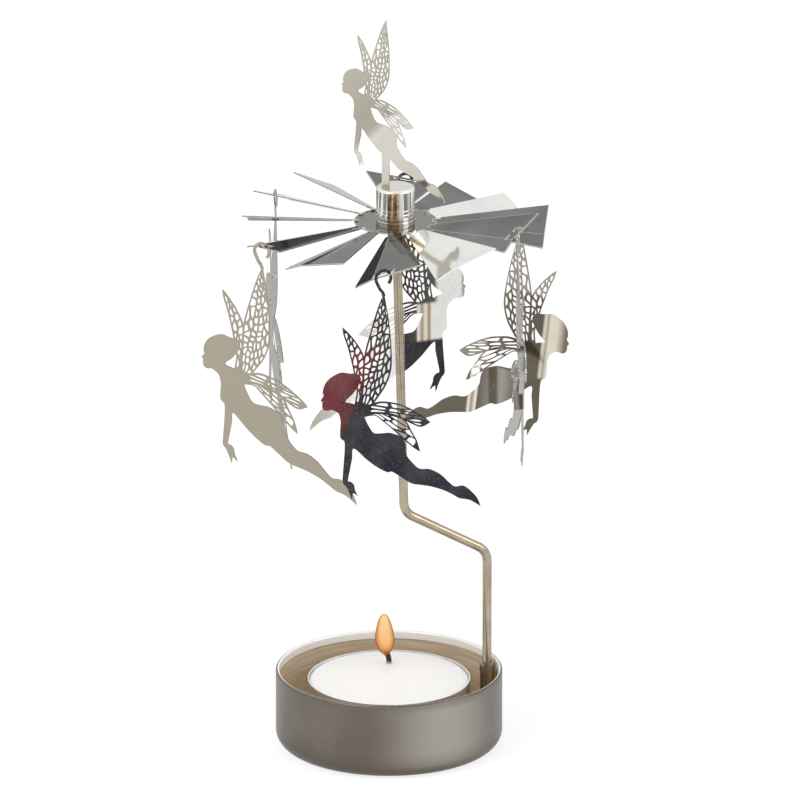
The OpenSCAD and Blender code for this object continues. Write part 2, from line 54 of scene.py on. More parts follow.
# %% [markdown]
# ## The camera
# The photograph was taken from far away with a long lens, because the tall
# candlestick hardly narrows towards its top. The view is 19 degrees above the
# horizon. The lens is worked out from the scale, which is 4.3 pixels for a
# millimetre in a picture 800 pixels wide.
# %% Set the camera
VIEW_HEIGHT = math.radians(19)
VIEW_DISTANCE = 4.0
PIXELS_PER_METRE = 4300
PICTURE_WIDTH = 800
SENSOR_WIDTH = 36


def aim(thing, target):
    """Turns a camera or lamp so that it looks at a point."""
    thing.rotation_euler = (Vector(target) - thing.location).to_track_quat("-Z", "Y").to_euler()


look_at = Vector((2.56, 0, 84.5)) * MM
camera_data = bpy.data.cameras.new("photo_camera")
camera_data.sensor_width = SENSOR_WIDTH
camera_data.lens = SENSOR_WIDTH * PIXELS_PER_METRE * VIEW_DISTANCE / PICTURE_WIDTH
camera_data.clip_end = 30
camera = bpy.data.objects.new("photo_camera", camera_data)
bpy.context.scene.collection.objects.link(camera)
towards_camera = Vector((0, -math.cos(VIEW_HEIGHT), math.sin(VIEW_HEIGHT)))
camera.location = look_at + VIEW_DISTANCE * towards_camera
aim(camera, look_at)
bpy.context.scene.camera = camera
bpy.context.scene.view_settings.view_transform = "Standard"
print("lens", round(camera_data.lens), "mm at", VIEW_DISTANCE, "m")

# %% [markdown]
# ## Wiring materials
# Every finish below is a small graph of shader nodes. Typing out each link
# would hide the idea of a finish, so a few short helpers make the nodes, set
# their values and join them.
# %% Helpers for shader graphs


def new_material(name):
    """A material with its Principled shader and output; returns the three."""
    material = bpy.data.materials.new(name)
    material.use_nodes = True
    tree = material.node_tree
    return material, tree, tree.nodes["Principled BSDF"]


def add(tree, kind, **values):
    """A node with its inputs or settings given by name."""
    node = tree.nodes.new(kind)
    for key, value in values.items():
        label = key.replace("_", " ").title()
        if label in node.inputs:
            node.inputs[label].default_value = value
        else:
            setattr(node, key, value)
    return node


def join(tree, source, target):
    tree.links.new(source, target)


def maths(tree, operation, a, b=0.0, clamp=False):
    """One Math node; a and b are numbers or sockets."""
    node = tree.nodes.new("ShaderNodeMath")
    node.operation = operation
    node.use_clamp = clamp
    for slot, value in enumerate((a, b)):
        if hasattr(value, "is_linked"):
            join(tree, value, node.inputs[slot])
        else:
            node.inputs[slot].default_value = value
    return node.outputs[0]


def mix_colour(tree, share, a, b):
    """A colour between a and b; each is a colour or a socket."""
    node = tree.nodes.new("ShaderNodeMix")
    node.data_type = "RGBA"
    for slot, value in ((0, share), (6, a), (7, b)):
        if hasattr(value, "is_linked"):
            join(tree, value, node.inputs[slot])
        elif slot == 0:
            node.inputs[slot].default_value = value
        else:
            node.inputs[slot].default_value = (*value, 1)
    return node.outputs[2]


def ramp(tree, value, low, high, out_low=0.0, out_high=1.0):
    """Maps a value from one range to another and stops at both ends."""
    node = tree.nodes.new("ShaderNodeMapRange")
    node.clamp = True
    join(tree, value, node.inputs[0])
    for slot, number in enumerate((low, high, out_low, out_high), start=1):
        node.inputs[slot].default_value = number
    return node.outputs[0]


def place_xyz(tree):
    """The place on the model in metres, as x, y and z."""
    where = tree.nodes.new("ShaderNodeTexCoord")
    split = tree.nodes.new("ShaderNodeSeparateXYZ")
    join(tree, where.outputs["Object"], split.inputs[0])
    return where.outputs["Object"], split.outputs[0], split.outputs[1], split.outputs[2]


print("shader helpers ready")

# %% [markdown]
# ## Effects that several finishes share
# Thin polished sheet is never quite flat or clean. It has slow waves from the
# rolling mill, fine scratches from handling and dull smudges from fingers.
# These could be painted, but noise patterns measured in metres keep their real
# size on every piece, so they are built once as node groups.
# %% Make the shared effects


def new_group(name, inputs, outputs):
    """An empty node group with named inputs and outputs."""
    tree = bpy.data.node_groups.new(name, "ShaderNodeTree")
    for label, kind, value in inputs:
        socket = tree.interface.new_socket(name=label, in_out="INPUT", socket_type=kind)
        if value is not None:
            socket.default_value = value
    for label, kind in outputs:
        tree.interface.new_socket(name=label, in_out="OUTPUT", socket_type=kind)
    return tree, tree.nodes.new("NodeGroupInput"), tree.nodes.new("NodeGroupOutput")


def make_handling_wear():
    """Scratch and Smudge masks, from 0 to 1, at a real scale."""
    tree, source, result = new_group(
        "handling_wear",
        [("Vector", "NodeSocketVector", None), ("Scratch Scale", "NodeSocketFloat", 2200.0),
         ("Smudge Scale", "NodeSocketFloat", 160.0)],
        [("Scratch", "NodeSocketFloat"), ("Smudge", "NodeSocketFloat")],
    )
    scratches = None
    for turn in (0.5, 2.1):
        spin = add(tree, "ShaderNodeMapping")
        spin.inputs["Rotation"].default_value = (turn, turn * 0.6, turn * 1.4)
        spin.inputs["Scale"].default_value = (1, 0.12, 0.12)
        join(tree, source.outputs["Vector"], spin.inputs["Vector"])
        lines = add(tree, "ShaderNodeTexNoise", detail=1.0, roughness=0.4)
        join(tree, spin.outputs[0], lines.inputs["Vector"])
        join(tree, source.outputs["Scratch Scale"], lines.inputs["Scale"])
        thin = ramp(tree, lines.outputs[0], 0.7, 0.73)
        scratches = thin if scratches is None else maths(tree, "MAXIMUM", scratches, thin)
    patches = add(tree, "ShaderNodeTexNoise", detail=3.0)
    join(tree, source.outputs["Vector"], patches.inputs["Vector"])
    join(tree, source.outputs["Smudge Scale"], patches.inputs["Scale"])
    handled = ramp(tree, patches.outputs[0], 0.45, 0.6)
    join(tree, maths(tree, "MULTIPLY", scratches, handled), result.inputs["Scratch"])
    join(tree, ramp(tree, patches.outputs[0], 0.35, 0.7), result.inputs["Smudge"])
    return tree


def make_mill_waves():
    """A height that rises and falls slowly, for a Bump node."""
    tree, source, result = new_group(
        "mill_waves",
        [("Vector", "NodeSocketVector", None), ("Scale", "NodeSocketFloat", 40.0)],
        [("Height", "NodeSocketFloat")],
    )
    waves = add(tree, "ShaderNodeTexNoise", detail=1.0, roughness=0.3)
    join(tree, source.outputs["Vector"], waves.inputs["Vector"])
    join(tree, source.outputs["Scale"], waves.inputs["Scale"])
    join(tree, waves.outputs[0], result.inputs["Height"])
    return tree


HANDLING_WEAR = make_handling_wear()
MILL_WAVES = make_mill_waves()


def use_group(tree, group, where, **values):
    node = tree.nodes.new("ShaderNodeGroup")
    node.node_tree = group
    join(tree, where, node.inputs["Vector"])
    for key, value in values.items():
        node.inputs[key.replace("_", " ").title()].default_value = value
    return node


def bump_from(tree, height, strength, distance):
    node = add(tree, "ShaderNodeBump", strength=strength, distance=distance)
    join(tree, height, node.inputs["Height"])
    return node.outputs[0]


print("groups", [group.name for group in bpy.data.node_groups])

# %% [markdown]
# ## Polished sheet
# The blades and the figures are cut from thin bright metal that works as a
# mirror. Each flat sheet mirrors a tone of its own from the room, and a white
# studio would leave them all blank. So the finish is a smooth metal with slow
# waves and a few scratches, and its tone is a painted reflection, made by a small
# function that stands in for the room: plain sheet, a brownish wire, blades of
# two greys with painted highlights along their edges, or a cap with a golden
# painted reflection. Directions round the axis are in degrees, seen from above.
# %% Make the polished sheet
AXIS_X = 1.5 * MM
GRAZING_TINT = (0.6, 0.6, 0.59, 1)
SMUDGE_SHARE = 0.12
SMUDGE_GREY = (0.3, 0.3, 0.29)
SCRATCH_DULLING = 0.08
# Two blades are painted pale and the core paler as painted reflections, and the edge lines are painted
# highlights.
PALE_REFLECTION_BLADES = (32.5, -62.5)
HALF_BLADE = 14
REFLECTION_CORE_REACH = 9.4 * MM
EDGE_HIGHLIGHT_RADIUS = 0.16 * MM
GOLD_REFLECTION_TURN = -97
HALF_GOLD_REFLECTION = 19
SMOOTH = 0.05
SHEET_WAVES = 0.012 * MM


def mirror_sheet(name, tone_of, roughness, wave_height):
    """Polished metal whose tone is made by tone_of, a function of the node tree."""
    material, tree, shader = new_material(name)
    where, _, _, _ = place_xyz(tree)
    wear = use_group(tree, HANDLING_WEAR, where)
    waves = use_group(tree, MILL_WAVES, where, scale=60.0)
    shader.inputs["Metallic"].default_value = 1.0
    shader.inputs["Specular Tint"].default_value = GRAZING_TINT
    handled = maths(tree, "MULTIPLY", wear.outputs["Smudge"], SMUDGE_SHARE)
    join(tree, mix_colour(tree, handled, tone_of(tree), SMUDGE_GREY), shader.inputs["Base Color"])
    dull = maths(tree, "MULTIPLY", wear.outputs["Scratch"], SCRATCH_DULLING)
    smudge = maths(tree, "MULTIPLY", wear.outputs["Smudge"], roughness * 0.6)
    total = maths(tree, "ADD", maths(tree, "ADD", dull, smudge), roughness)
    join(tree, total, shader.inputs["Roughness"])
    join(tree, bump_from(tree, waves.outputs["Height"], 1.0, wave_height), shader.inputs["Normal"])
    return material


def mottled(low, high, scale):
    """A tone that wanders between two colours."""
    def tone_of(tree):
        where, _, _, _ = place_xyz(tree)
        cloud = add(tree, "ShaderNodeTexNoise", scale=scale, detail=3.0)
        join(tree, where, cloud.inputs["Vector"])
        return mix_colour(tree, ramp(tree, cloud.outputs[0], 0.35, 0.65), low, high)
    return tone_of


def near_turn(tree, middle, half):
    """1 where the direction from the axis is less than half away from middle."""
    _, x, y, _ = place_xyz(tree)
    turn = maths(tree, "ARCTAN2", y, maths(tree, "SUBTRACT", x, AXIS_X))
    away = maths(tree, "ABSOLUTE", maths(tree, "SUBTRACT", turn, math.radians(middle)))
    return ramp(tree, away, math.radians(half - 1), math.radians(half), 1.0, 0.0)


def reach_from_axis(tree):
    """The distance from the fan's axis in metres."""
    _, x, y, _ = place_xyz(tree)
    side = maths(tree, "SUBTRACT", x, AXIS_X)
    square = maths(tree, "ADD", maths(tree, "MULTIPLY", side, side), maths(tree, "MULTIPLY", y, y))
    return maths(tree, "SQRT", square)


def blade_reflection_tones(tree):
    """Painted reflections of grey blades, two pale ones and a paler core, with painted highlights as bright
    lines at the edges.
    """
    grey = mottled((0.165, 0.168, 0.163), (0.235, 0.238, 0.233), 60.0)(tree)
    pale = maths(tree, "MAXIMUM", *(near_turn(tree, turn, HALF_BLADE) for turn in PALE_REFLECTION_BLADES))
    tone = mix_colour(tree, pale, grey, (0.9, 0.9, 0.88))
    core = ramp(tree, reach_from_axis(tree), REFLECTION_CORE_REACH, REFLECTION_CORE_REACH + 0.3 * MM, 1.0, 0.0)
    tone = mix_colour(tree, core, tone, (0.3, 0.3, 0.285))
    # Painted highlight: bright lines where the Bevel normal parts from the flat face.
    highlight_bevel = add(tree, "ShaderNodeBevel", samples=6, radius=EDGE_HIGHLIGHT_RADIUS)
    flat = tree.nodes.new("ShaderNodeNewGeometry")
    alike = add(tree, "ShaderNodeVectorMath", operation="DOT_PRODUCT")
    join(tree, highlight_bevel.outputs[0], alike.inputs[0])
    join(tree, flat.outputs["Normal"], alike.inputs[1])
    edge = ramp(tree, alike.outputs["Value"], 0.997, 0.9995, 1.0, 0.0)
    return mix_colour(tree, edge, tone, (0.85, 0.82, 0.78))


def cap_reflection_tones(tree):
    """Bright metal with one golden brown painted reflection down the side."""
    gold = mottled((0.2, 0.13, 0.065), (0.66, 0.5, 0.32), 420.0)(tree)
    facing = tree.nodes.new("ShaderNodeNewGeometry")
    split = add(tree, "ShaderNodeSeparateXYZ")
    join(tree, facing.outputs["Normal"], split.inputs[0])
    side = ramp(tree, split.outputs[2], 0.3, 0.5, 1.0, 0.0)
    # The golden brown band down the side is a painted reflection.
    gold_reflection = maths(tree, "MULTIPLY", near_turn(tree, GOLD_REFLECTION_TURN, HALF_GOLD_REFLECTION), side)
    return mix_colour(tree, gold_reflection, (0.9, 0.88, 0.84), gold)


SHEET_TONES = mottled((0.87, 0.86, 0.83), (0.78, 0.77, 0.74), 60.0)
# The wire's brownish tone is a painted reflection of the room.
WIRE_REFLECTION_TONES = mottled((0.36, 0.305, 0.22), (0.46, 0.4, 0.3), 300.0)
POLISHED_SHEET = mirror_sheet("polished_sheet", SHEET_TONES, SMOOTH, SHEET_WAVES)
POLISHED_BLADES = mirror_sheet("polished_blades", blade_reflection_tones, 0.06, 0.008 * MM)
BRIGHT_WIRE = mirror_sheet("bright_wire", WIRE_REFLECTION_TONES, 0.17, 0.01 * MM)
BRIGHT_CAP = mirror_sheet("bright_cap", cap_reflection_tones, 0.12, 0.01 * MM)
print("polished metals", POLISHED_SHEET.name, POLISHED_BLADES.name, BRIGHT_WIRE.name, BRIGHT_CAP.name)

# %% [markdown]
# ## The dish's metal
# The dish is pressed from sheet too but left satin: grey brown outside, with a
# painted highlight towards the front right and painted shade at the foot and under
# the rim, warmer inside, and a hem folded in under the rim whose bright white is a
# painted reflection. The model knows one dish, so the zones are told apart by the
# way the surface faces, to or from the axis, and by the height. Pressing leaves
# faint rings, which are noise stretched round the wall.
# %% Make the satin dish
DISH_HEIGHT = 18.3 * MM
HEM_HEIGHT = 1.9 * MM
FOOT_SHADE_HEIGHT = 6.2 * MM
HIGHLIGHT_TURN = math.radians(30)


def dish_zones(tree, normal, x, y, z):
    """Masks, from 0 to 1, of the inside and of the hem."""
    nx, ny, nz = normal.outputs
    outwards = maths(tree, "ADD", maths(tree, "MULTIPLY", nx, x), maths(tree, "MULTIPLY", ny, y))
    wall = ramp(tree, outwards, -0.002, 0.0, 1.0, 0.0)
    low = ramp(tree, z, DISH_HEIGHT / 2, DISH_HEIGHT / 2 + MM, 1.0, 0.0)
    floor = maths(tree, "MULTIPLY", ramp(tree, nz, 0.2, 0.4), low)
    inside = maths(tree, "MAXIMUM", wall, floor)
    hem_foot = DISH_HEIGHT - HEM_HEIGHT
    hem = maths(tree, "MULTIPLY", inside, ramp(tree, z, hem_foot - 0.1 * MM, hem_foot))
    return inside, hem


def dish_outside(tree, smudge, normal, z):
    """Grey brown, partly its own colour and partly a painted reflection of a darker room, with a painted
    highlight towards the front right and painted shade at the foot and under the rim.
    """
    nx, ny, _ = normal.outputs
    # Painted highlight: paler towards the front right.
    lean = maths(tree, "SUBTRACT", maths(tree, "MULTIPLY", nx, math.sin(HIGHLIGHT_TURN)),
                 maths(tree, "MULTIPLY", ny, math.cos(HIGHLIGHT_TURN)))
    painted_highlight = ramp(tree, lean, 0.76, 1.0)
    painted_highlight = maths(tree, "MULTIPLY", painted_highlight, painted_highlight)
    # The dark grey brown is partly the metal's own colour and partly a painted reflection of a darker room.
    tone = mix_colour(tree, smudge, (0.145, 0.127, 0.109), (0.182, 0.162, 0.141))
    tone = mix_colour(tree, painted_highlight, tone, (0.35, 0.325, 0.29))
    # Painted shade: darker towards the foot and in a band under the rim.
    foot = maths(tree, "MULTIPLY", ramp(tree, z, 0.0, FOOT_SHADE_HEIGHT, 1.0, 0.0), 0.75)
    tone = mix_colour(tree, foot, tone, (0.09, 0.074, 0.064))
    rim = maths(tree, "MULTIPLY", ramp(tree, z, DISH_HEIGHT - 2.2 * MM, DISH_HEIGHT - 0.6 * MM), 0.5)
    return mix_colour(tree, rim, tone, (0.15, 0.132, 0.118))


def satin_dish():
    material, tree, shader = new_material("satin_dish")
    where, x, y, z = place_xyz(tree)
    geometry = tree.nodes.new("ShaderNodeNewGeometry")
    normal = tree.nodes.new("ShaderNodeSeparateXYZ")
    join(tree, geometry.outputs["Normal"], normal.inputs[0])
    inside, hem = dish_zones(tree, normal, x, y, z)
    wear = use_group(tree, HANDLING_WEAR, where, smudge_scale=70.0)
    stretch = add(tree, "ShaderNodeMapping")
    stretch.inputs["Scale"].default_value = (1, 1, 26)
    join(tree, where, stretch.inputs["Vector"])
    rings = add(tree, "ShaderNodeTexNoise", scale=70.0, detail=4.0)
    join(tree, stretch.outputs[0], rings.inputs["Vector"])
    grain = add(tree, "ShaderNodeTexNoise", scale=5200.0, detail=2.0)
    join(tree, where, grain.inputs["Vector"])
    outer = dish_outside(tree, wear.outputs["Smudge"], normal, z)
    inner = mix_colour(tree, ramp(tree, rings.outputs[0], 0.35, 0.65), (0.68, 0.54, 0.38), (0.88, 0.75, 0.58))
    colour = mix_colour(tree, inside, outer, inner)
    # The hem's bright white is a painted reflection, and it is kept less metallic and smoother below so that
    # it stays white.
    colour = mix_colour(tree, hem, colour, (1.0, 0.99, 0.96))
    join(tree, colour, shader.inputs["Base Color"])
    bare = ramp(tree, maths(tree, "ADD", inside, hem), 0.0, 1.5, 1.0, 0.1)
    join(tree, bare, shader.inputs["Metallic"])
    satin = ramp(tree, rings.outputs[0], 0.3, 0.7, 0.36, 0.44)
    rough = maths(tree, "SUBTRACT", satin, maths(tree, "MULTIPLY", hem, 0.2))
    join(tree, rough, shader.inputs["Roughness"])
    ring_height = maths(tree, "MULTIPLY", rings.outputs[0], 0.5)
    grain_height = maths(tree, "MULTIPLY", grain.outputs[0], 0.2)
    height = maths(tree, "ADD", ring_height, grain_height)
    join(tree, bump_from(tree, height, 0.5, 0.04 * MM), shader.inputs["Normal"])
    return material


SATIN_DISH = satin_dish()
print("dish finish", SATIN_DISH.name)

# %% [markdown]
# ## Wax, wick and foil
# Paraffin wax lets light in a little way and glows softly, which subsurface
# scattering does. Its skin has faint rings where it cooled. The foil cup is
# thin bright aluminium, and the burnt wick is black and crumbly.
# %% Make the tealight's finishes
RING_SHIFT = 4 * MM
BURNT_FROM = 19.0 * MM
BURNT_WHOLLY = 20.2 * MM


def soft_wax():
    material, tree, shader = new_material("soft_wax")
    where, x, y, _ = place_xyz(tree)
    side = maths(tree, "ADD", x, RING_SHIFT)
    square = maths(tree, "ADD", maths(tree, "MULTIPLY", side, side), maths(tree, "MULTIPLY", y, y))
    rings = maths(tree, "SINE", maths(tree, "MULTIPLY", maths(tree, "SQRT", square), 1500.0))
    cloud = add(tree, "ShaderNodeTexNoise", scale=260.0, detail=3.0)
    join(tree, where, cloud.inputs["Vector"])
    cream = mix_colour(tree, cloud.outputs[0], (0.975, 0.955, 0.885), (0.995, 0.99, 0.965))
    join(tree, cream, shader.inputs["Base Color"])
    shader.inputs["Subsurface Weight"].default_value = 0.35
    shader.inputs["Subsurface Radius"].default_value = (1.0, 0.75, 0.5)
    shader.inputs["Subsurface Scale"].default_value = 3 * MM
    join(tree, ramp(tree, cloud.outputs[0], 0.3, 0.7, 0.38, 0.55), shader.inputs["Roughness"])
    height = maths(tree, "ADD", maths(tree, "MULTIPLY", rings, 0.25), cloud.outputs[0])
    join(tree, bump_from(tree, height, 0.35, 0.25 * MM), shader.inputs["Normal"])
    return material


def burnt_wick():
    material, tree, shader = new_material("burnt_wick")
    where, _, _, z = place_xyz(tree)
    crumbs = add(tree, "ShaderNodeTexNoise", scale=2600.0, detail=4.0)
    join(tree, where, crumbs.inputs["Vector"])
    burnt = ramp(tree, z, BURNT_FROM, BURNT_WHOLLY)
    black = mix_colour(tree, crumbs.outputs[0], (0.012, 0.009, 0.008), (0.06, 0.035, 0.025))
    join(tree, mix_colour(tree, burnt, (0.75, 0.72, 0.65), black), shader.inputs["Base Color"])
    shader.inputs["Roughness"].default_value = 0.9
    join(tree, bump_from(tree, crumbs.outputs[0], 0.8, 0.2 * MM), shader.inputs["Normal"])
    return material


def bright_foil(name, colour, roughness):
    material, tree, shader = new_material(name)
    where, _, _, _ = place_xyz(tree)
    wear = use_group(tree, HANDLING_WEAR, where, smudge_scale=300.0)
    waves = use_group(tree, MILL_WAVES, where, scale=350.0)
    darker = tuple(channel * 0.85 for channel in colour)
    join(tree, mix_colour(tree, wear.outputs["Smudge"], colour, darker), shader.inputs["Base Color"])
    shader.inputs["Metallic"].default_value = 1.0
    rough = ramp(tree, wear.outputs["Smudge"], 0.0, 1.0, roughness, roughness * 1.6)
    join(tree, rough, shader.inputs["Roughness"])
    join(tree, bump_from(tree, waves.outputs["Height"], 0.8, 0.1 * MM), shader.inputs["Normal"])
    return material


SOFT_WAX = soft_wax()
BURNT_WICK = burnt_wick()
CUP_FOIL = bright_foil("cup_foil", (0.86, 0.86, 0.87), 0.22)
TAB_STEEL = bright_foil("tab_steel", (0.55, 0.54, 0.52), 0.32)
print("tealight finishes", SOFT_WAX.name, BURNT_WICK.name, CUP_FOIL.name, TAB_STEEL.name)

# %% [markdown]
# ## Dressing the measured pieces
# The dish, stem, cap, fan and tealight already have their true shapes, so they
# keep them and only get their finishes. They also keep the shading that they
# are loaded with, which is smooth on round faces and flat on flat ones.
# %% Put the finishes on the measured pieces
FINISHES = {
    "base_dish": SATIN_DISH, "stem_socket": BRIGHT_WIRE, "stem_rod": BRIGHT_WIRE,
    "tealight_cup": CUP_FOIL, "wax": SOFT_WAX, "wick": BURNT_WICK, "wick_sustainer": TAB_STEEL,
    "hub_cap": BRIGHT_CAP, "pivot_seat": TAB_STEEL, "fan_rotor": POLISHED_BLADES,
    "fan_collar": BRIGHT_CAP, "top_figure": POLISHED_SHEET,
}


def dress(piece, finish):
    """Gives a piece one finish on all its faces."""
    slots = piece.data.materials
    if not slots:
        slots.append(finish)
    for index in range(len(slots)):
        slots[index] = finish


for node_name, finish in FINISHES.items():
    dress(frame["nodes"][node_name], finish)
    print(node_name, len(frame["nodes"][node_name].data.polygons), "faces", finish.name)

# %% [markdown]
# ## Drawing the figures' outline
# Each figure is cut from one flat sheet. Its outline is a row of chosen points,
# given as shares of the figure's height from the top of its hook, and a smooth
# curve runs through them. A point that is given twice is a sharp corner, such
# as a toe or a fingertip. The solid model uses the same points.
# %% Draw smooth lines through points
FIGURE_HEIGHT = 61 * MM
HOOK_RADIUS = 2.2 * MM
HOOK_WIDTH = 0.7 * MM

BODY_SHARES = [
    (-0.155, -0.508), (-0.124, -0.480), (-0.101, -0.449), (-0.092, -0.424),
    (-0.106, -0.405), (-0.134, -0.400), (-0.170, -0.392), (-0.200, -0.401),
    (-0.226, -0.418), (-0.241, -0.444), (-0.244, -0.466), (-0.241, -0.476),
    (-0.252, -0.493), (-0.245, -0.499), (-0.248, -0.505), (-0.245, -0.510),
    (-0.247, -0.516), (-0.242, -0.530), (-0.228, -0.536), (-0.212, -0.534),
    (-0.197, -0.541), (-0.180, -0.556), (-0.172, -0.588), (-0.174, -0.620),
    (-0.173, -0.652), (-0.158, -0.668), (-0.156, -0.696), (-0.159, -0.746),
    (-0.163, -0.795), (-0.164, -0.832), (-0.150, -0.851), (-0.137, -0.880),
    (-0.128, -0.903), (-0.128, -0.903), (-0.124, -0.879), (-0.104, -0.893),
    (-0.104, -0.893), (-0.116, -0.866), (-0.120, -0.845), (-0.132, -0.832),
    (-0.144, -0.826), (-0.137, -0.785), (-0.128, -0.740), (-0.121, -0.700),
    (-0.067, -0.752), (-0.024, -0.788), (0.014, -0.811), (0.034, -0.812),
    (0.073, -0.840), (0.112, -0.868), (0.150, -0.879), (0.196, -0.892),
    (0.243, -0.912), (0.277, -0.932), (0.308, -0.952), (0.350, -0.965),
    (0.394, -0.995), (0.394, -0.995), (0.380, -0.960), (0.354, -0.928),
    (0.334, -0.910), (0.318, -0.904), (0.289, -0.903), (0.258, -0.875),
    (0.231, -0.847), (0.189, -0.822), (0.146, -0.814), (0.112, -0.780),
    (0.091, -0.748), (0.089, -0.715), (0.079, -0.684), (0.053, -0.667),
    (0.024, -0.656), (-0.010, -0.654), (-0.039, -0.648), (-0.061, -0.616),
    (-0.077, -0.578), (-0.082, -0.545), (-0.103, -0.531), (-0.126, -0.520),
]


def to_sheet(shares):
    """Shares of the height become metres from the centre of the hook's ring."""
    return [Vector((x * FIGURE_HEIGHT, y * FIGURE_HEIGHT + HOOK_RADIUS)) for x, y in shares]


def between(a, b, c, d, t):
    """A point of the smooth curve that runs from b to c."""
    bend, twist = 2 * a - 5 * b + 4 * c - d, 3 * b - a - 3 * c + d
    return 0.5 * (2 * b + (c - a) * t + bend * t * t + twist * t ** 3)


def smooth_loop(points, steps):
    count = len(points)
    loop = []
    for i, point in enumerate(points):
        ahead = points[(i + 1) % count]
        if (ahead - point).length > 0:
            beyond = points[(i + 2) % count]
            loop += [between(points[i - 1], point, ahead, beyond, k / steps) for k in range(steps)]
    return loop


def along(points, t):
    """The place at t, from 0 to 1, along a smooth open line."""
    last = len(points) - 1
    i = min(int(t * last), last - 1)
    return between(points[max(i - 1, 0)], points[i], points[i + 1], points[min(i + 2, last)], t * last - i)


body_loop = smooth_loop(to_sheet(BODY_SHARES), 6)
print("body outline", len(body_loop), "points")

# %% [markdown]
# ## Etching the wings
# The wings are a net of veins, finer than those of the solid model. They could
# be a picture with holes, but real holes look right from any side. Seeds are
# scattered over a wing, each seed owns the patch of wing that is nearest to
# it, and the patch, shrunk by half a vein and rounded off, becomes a hole. The
# distance is measured with the wing squeezed along its length, so that the
# cells come out long and the veins run from root to tip.
# %% Etch the cells of a wing
RIM = 0.3 * MM
VEIN = 0.2 * MM
LEAST_CELL = 0.22 * MM * MM

MAIN_WING = (
    [(-0.116, -0.572), (-0.090, -0.470), (-0.083, -0.390), (-0.074, -0.322),
     (-0.045, -0.222), (-0.021, -0.150), (0.003, -0.098)],
    [(-0.090, -0.588), (-0.028, -0.515), (0.010, -0.462), (0.031, -0.400),
     (0.032, -0.322), (0.023, -0.220), (0.003, -0.098)],
)
SMALL_WING = (
    [(-0.126, -0.565), (-0.108, -0.480), (-0.115, -0.430), (-0.124, -0.375),
     (-0.142, -0.300), (-0.160, -0.245), (-0.165, -0.211)],
    [(-0.098, -0.575), (-0.082, -0.475), (-0.077, -0.400), (-0.080, -0.335),
     (-0.108, -0.281), (-0.138, -0.240), (-0.165, -0.211)],
)
UPPER_TRAIL = (
    [(-0.112, -0.548), (-0.020, -0.526), (0.053, -0.541), (0.098, -0.562),
     (0.136, -0.587), (0.165, -0.609), (0.190, -0.633)],
    [(-0.108, -0.576), (-0.020, -0.574), (0.030, -0.588), (0.074, -0.606),
     (0.112, -0.629), (0.152, -0.647), (0.190, -0.633)],
)
LOWER_TRAIL = (
    [(-0.112, -0.556), (-0.012, -0.568), (0.050, -0.586), (0.092, -0.618),
     (0.114, -0.660), (0.135, -0.700), (0.148, -0.746)],
    [(-0.108, -0.584), (-0.040, -0.578), (-0.006, -0.603), (0.034, -0.641),
     (0.077, -0.684), (0.118, -0.724), (0.148, -0.746)],
)


def clip(loop, point, normal):
    """Keeps the part of a loop that lies on the side that normal points away from."""
    kept = []
    for i, here in enumerate(loop):
        ahead = loop[(i + 1) % len(loop)]
        a, b = (here - point).dot(normal), (ahead - point).dot(normal)
        if a <= 0:
            kept.append(here)
        if a * b < 0:
            kept.append(here + (ahead - here) * (a / (a - b)))
    return kept


def area(loop):
    return 0.5 * sum(p.x * q.y - q.x * p.y for p, q in zip(loop, loop[1:] + loop[:1]))


def rounded(loop):
    """Cuts the corners of a loop off, twice."""
    for _ in range(2):
        pairs = zip(loop, loop[1:] + loop[:1])
        loop = [corner for p, q in pairs for corner in (p * 0.75 + q * 0.25, p * 0.25 + q * 0.75)]
    return loop


def wing_parts(edges, seeds, squeeze, seed_number, end, start=0.1):
    """The outline of a wing and the holes etched in it."""
    left, right = to_sheet(edges[0]), to_sheet(edges[1])
    steps = 30
    outline = [along(right, k / steps) for k in range(steps + 1)]
    outline += [along(left, k / steps) for k in range(steps - 1, -1, -1)]
    field_left, field_right = [], []
    for k in range(steps + 1):
        t = start + (end - start) * k / steps
        a, b = along(left, t), along(right, t)
        across = b - a
        if across.length > RIM * 2 + VEIN:
            inset = across.normalized() * RIM
            field_left.append(a + inset)
            field_right.append(b - inset)
    field = field_right + field_left[::-1]
    axis = (along(left, 1) - along(left, 0)).normalized()
    chance = random.Random(seed_number)
    points = []
    rows, lanes = seeds
    for row in range(rows):
        for lane in range(lanes):
            t = start + (end - start) * (row + 0.5 + chance.uniform(-0.3, 0.3)) / rows
            s = (lane + 0.5 + 0.35 * (row % 2) + chance.uniform(-0.28, 0.28)) / (lanes + 0.35)
            points.append(along(left, t).lerp(along(right, t), s))

    def squeezed(v):
        return v - axis * v.dot(axis) * (1 - squeeze * squeeze)

    holes = []
    for i, seed in enumerate(points):
        cell = list(field)
        for j, other in enumerate(points):
            if i != j and len(cell) > 2:
                normal = squeezed(other - seed).normalized()
                cell = clip(cell, (seed + other) / 2 - normal * VEIN / 2, normal)
        swell = chance.uniform(0.72, 1.0)
        if len(cell) > 2 and abs(area(cell)) * swell * swell > LEAST_CELL:
            middle = sum(cell, Vector((0, 0))) / len(cell)
            holes.append(rounded([middle + (point - middle) * swell for point in cell]))
    return outline, holes


WINGS = [
    wing_parts(MAIN_WING, (15, 4), 0.5, 3, end=0.9),
    wing_parts(SMALL_WING, (10, 2), 0.45, 5, end=0.86),
    wing_parts(UPPER_TRAIL, (4, 3), 0.16, 8, end=0.86),
    wing_parts(LOWER_TRAIL, (3, 3), 0.16, 13, end=0.84),
]
print("holes in the wings", [len(holes) for _, holes in WINGS])

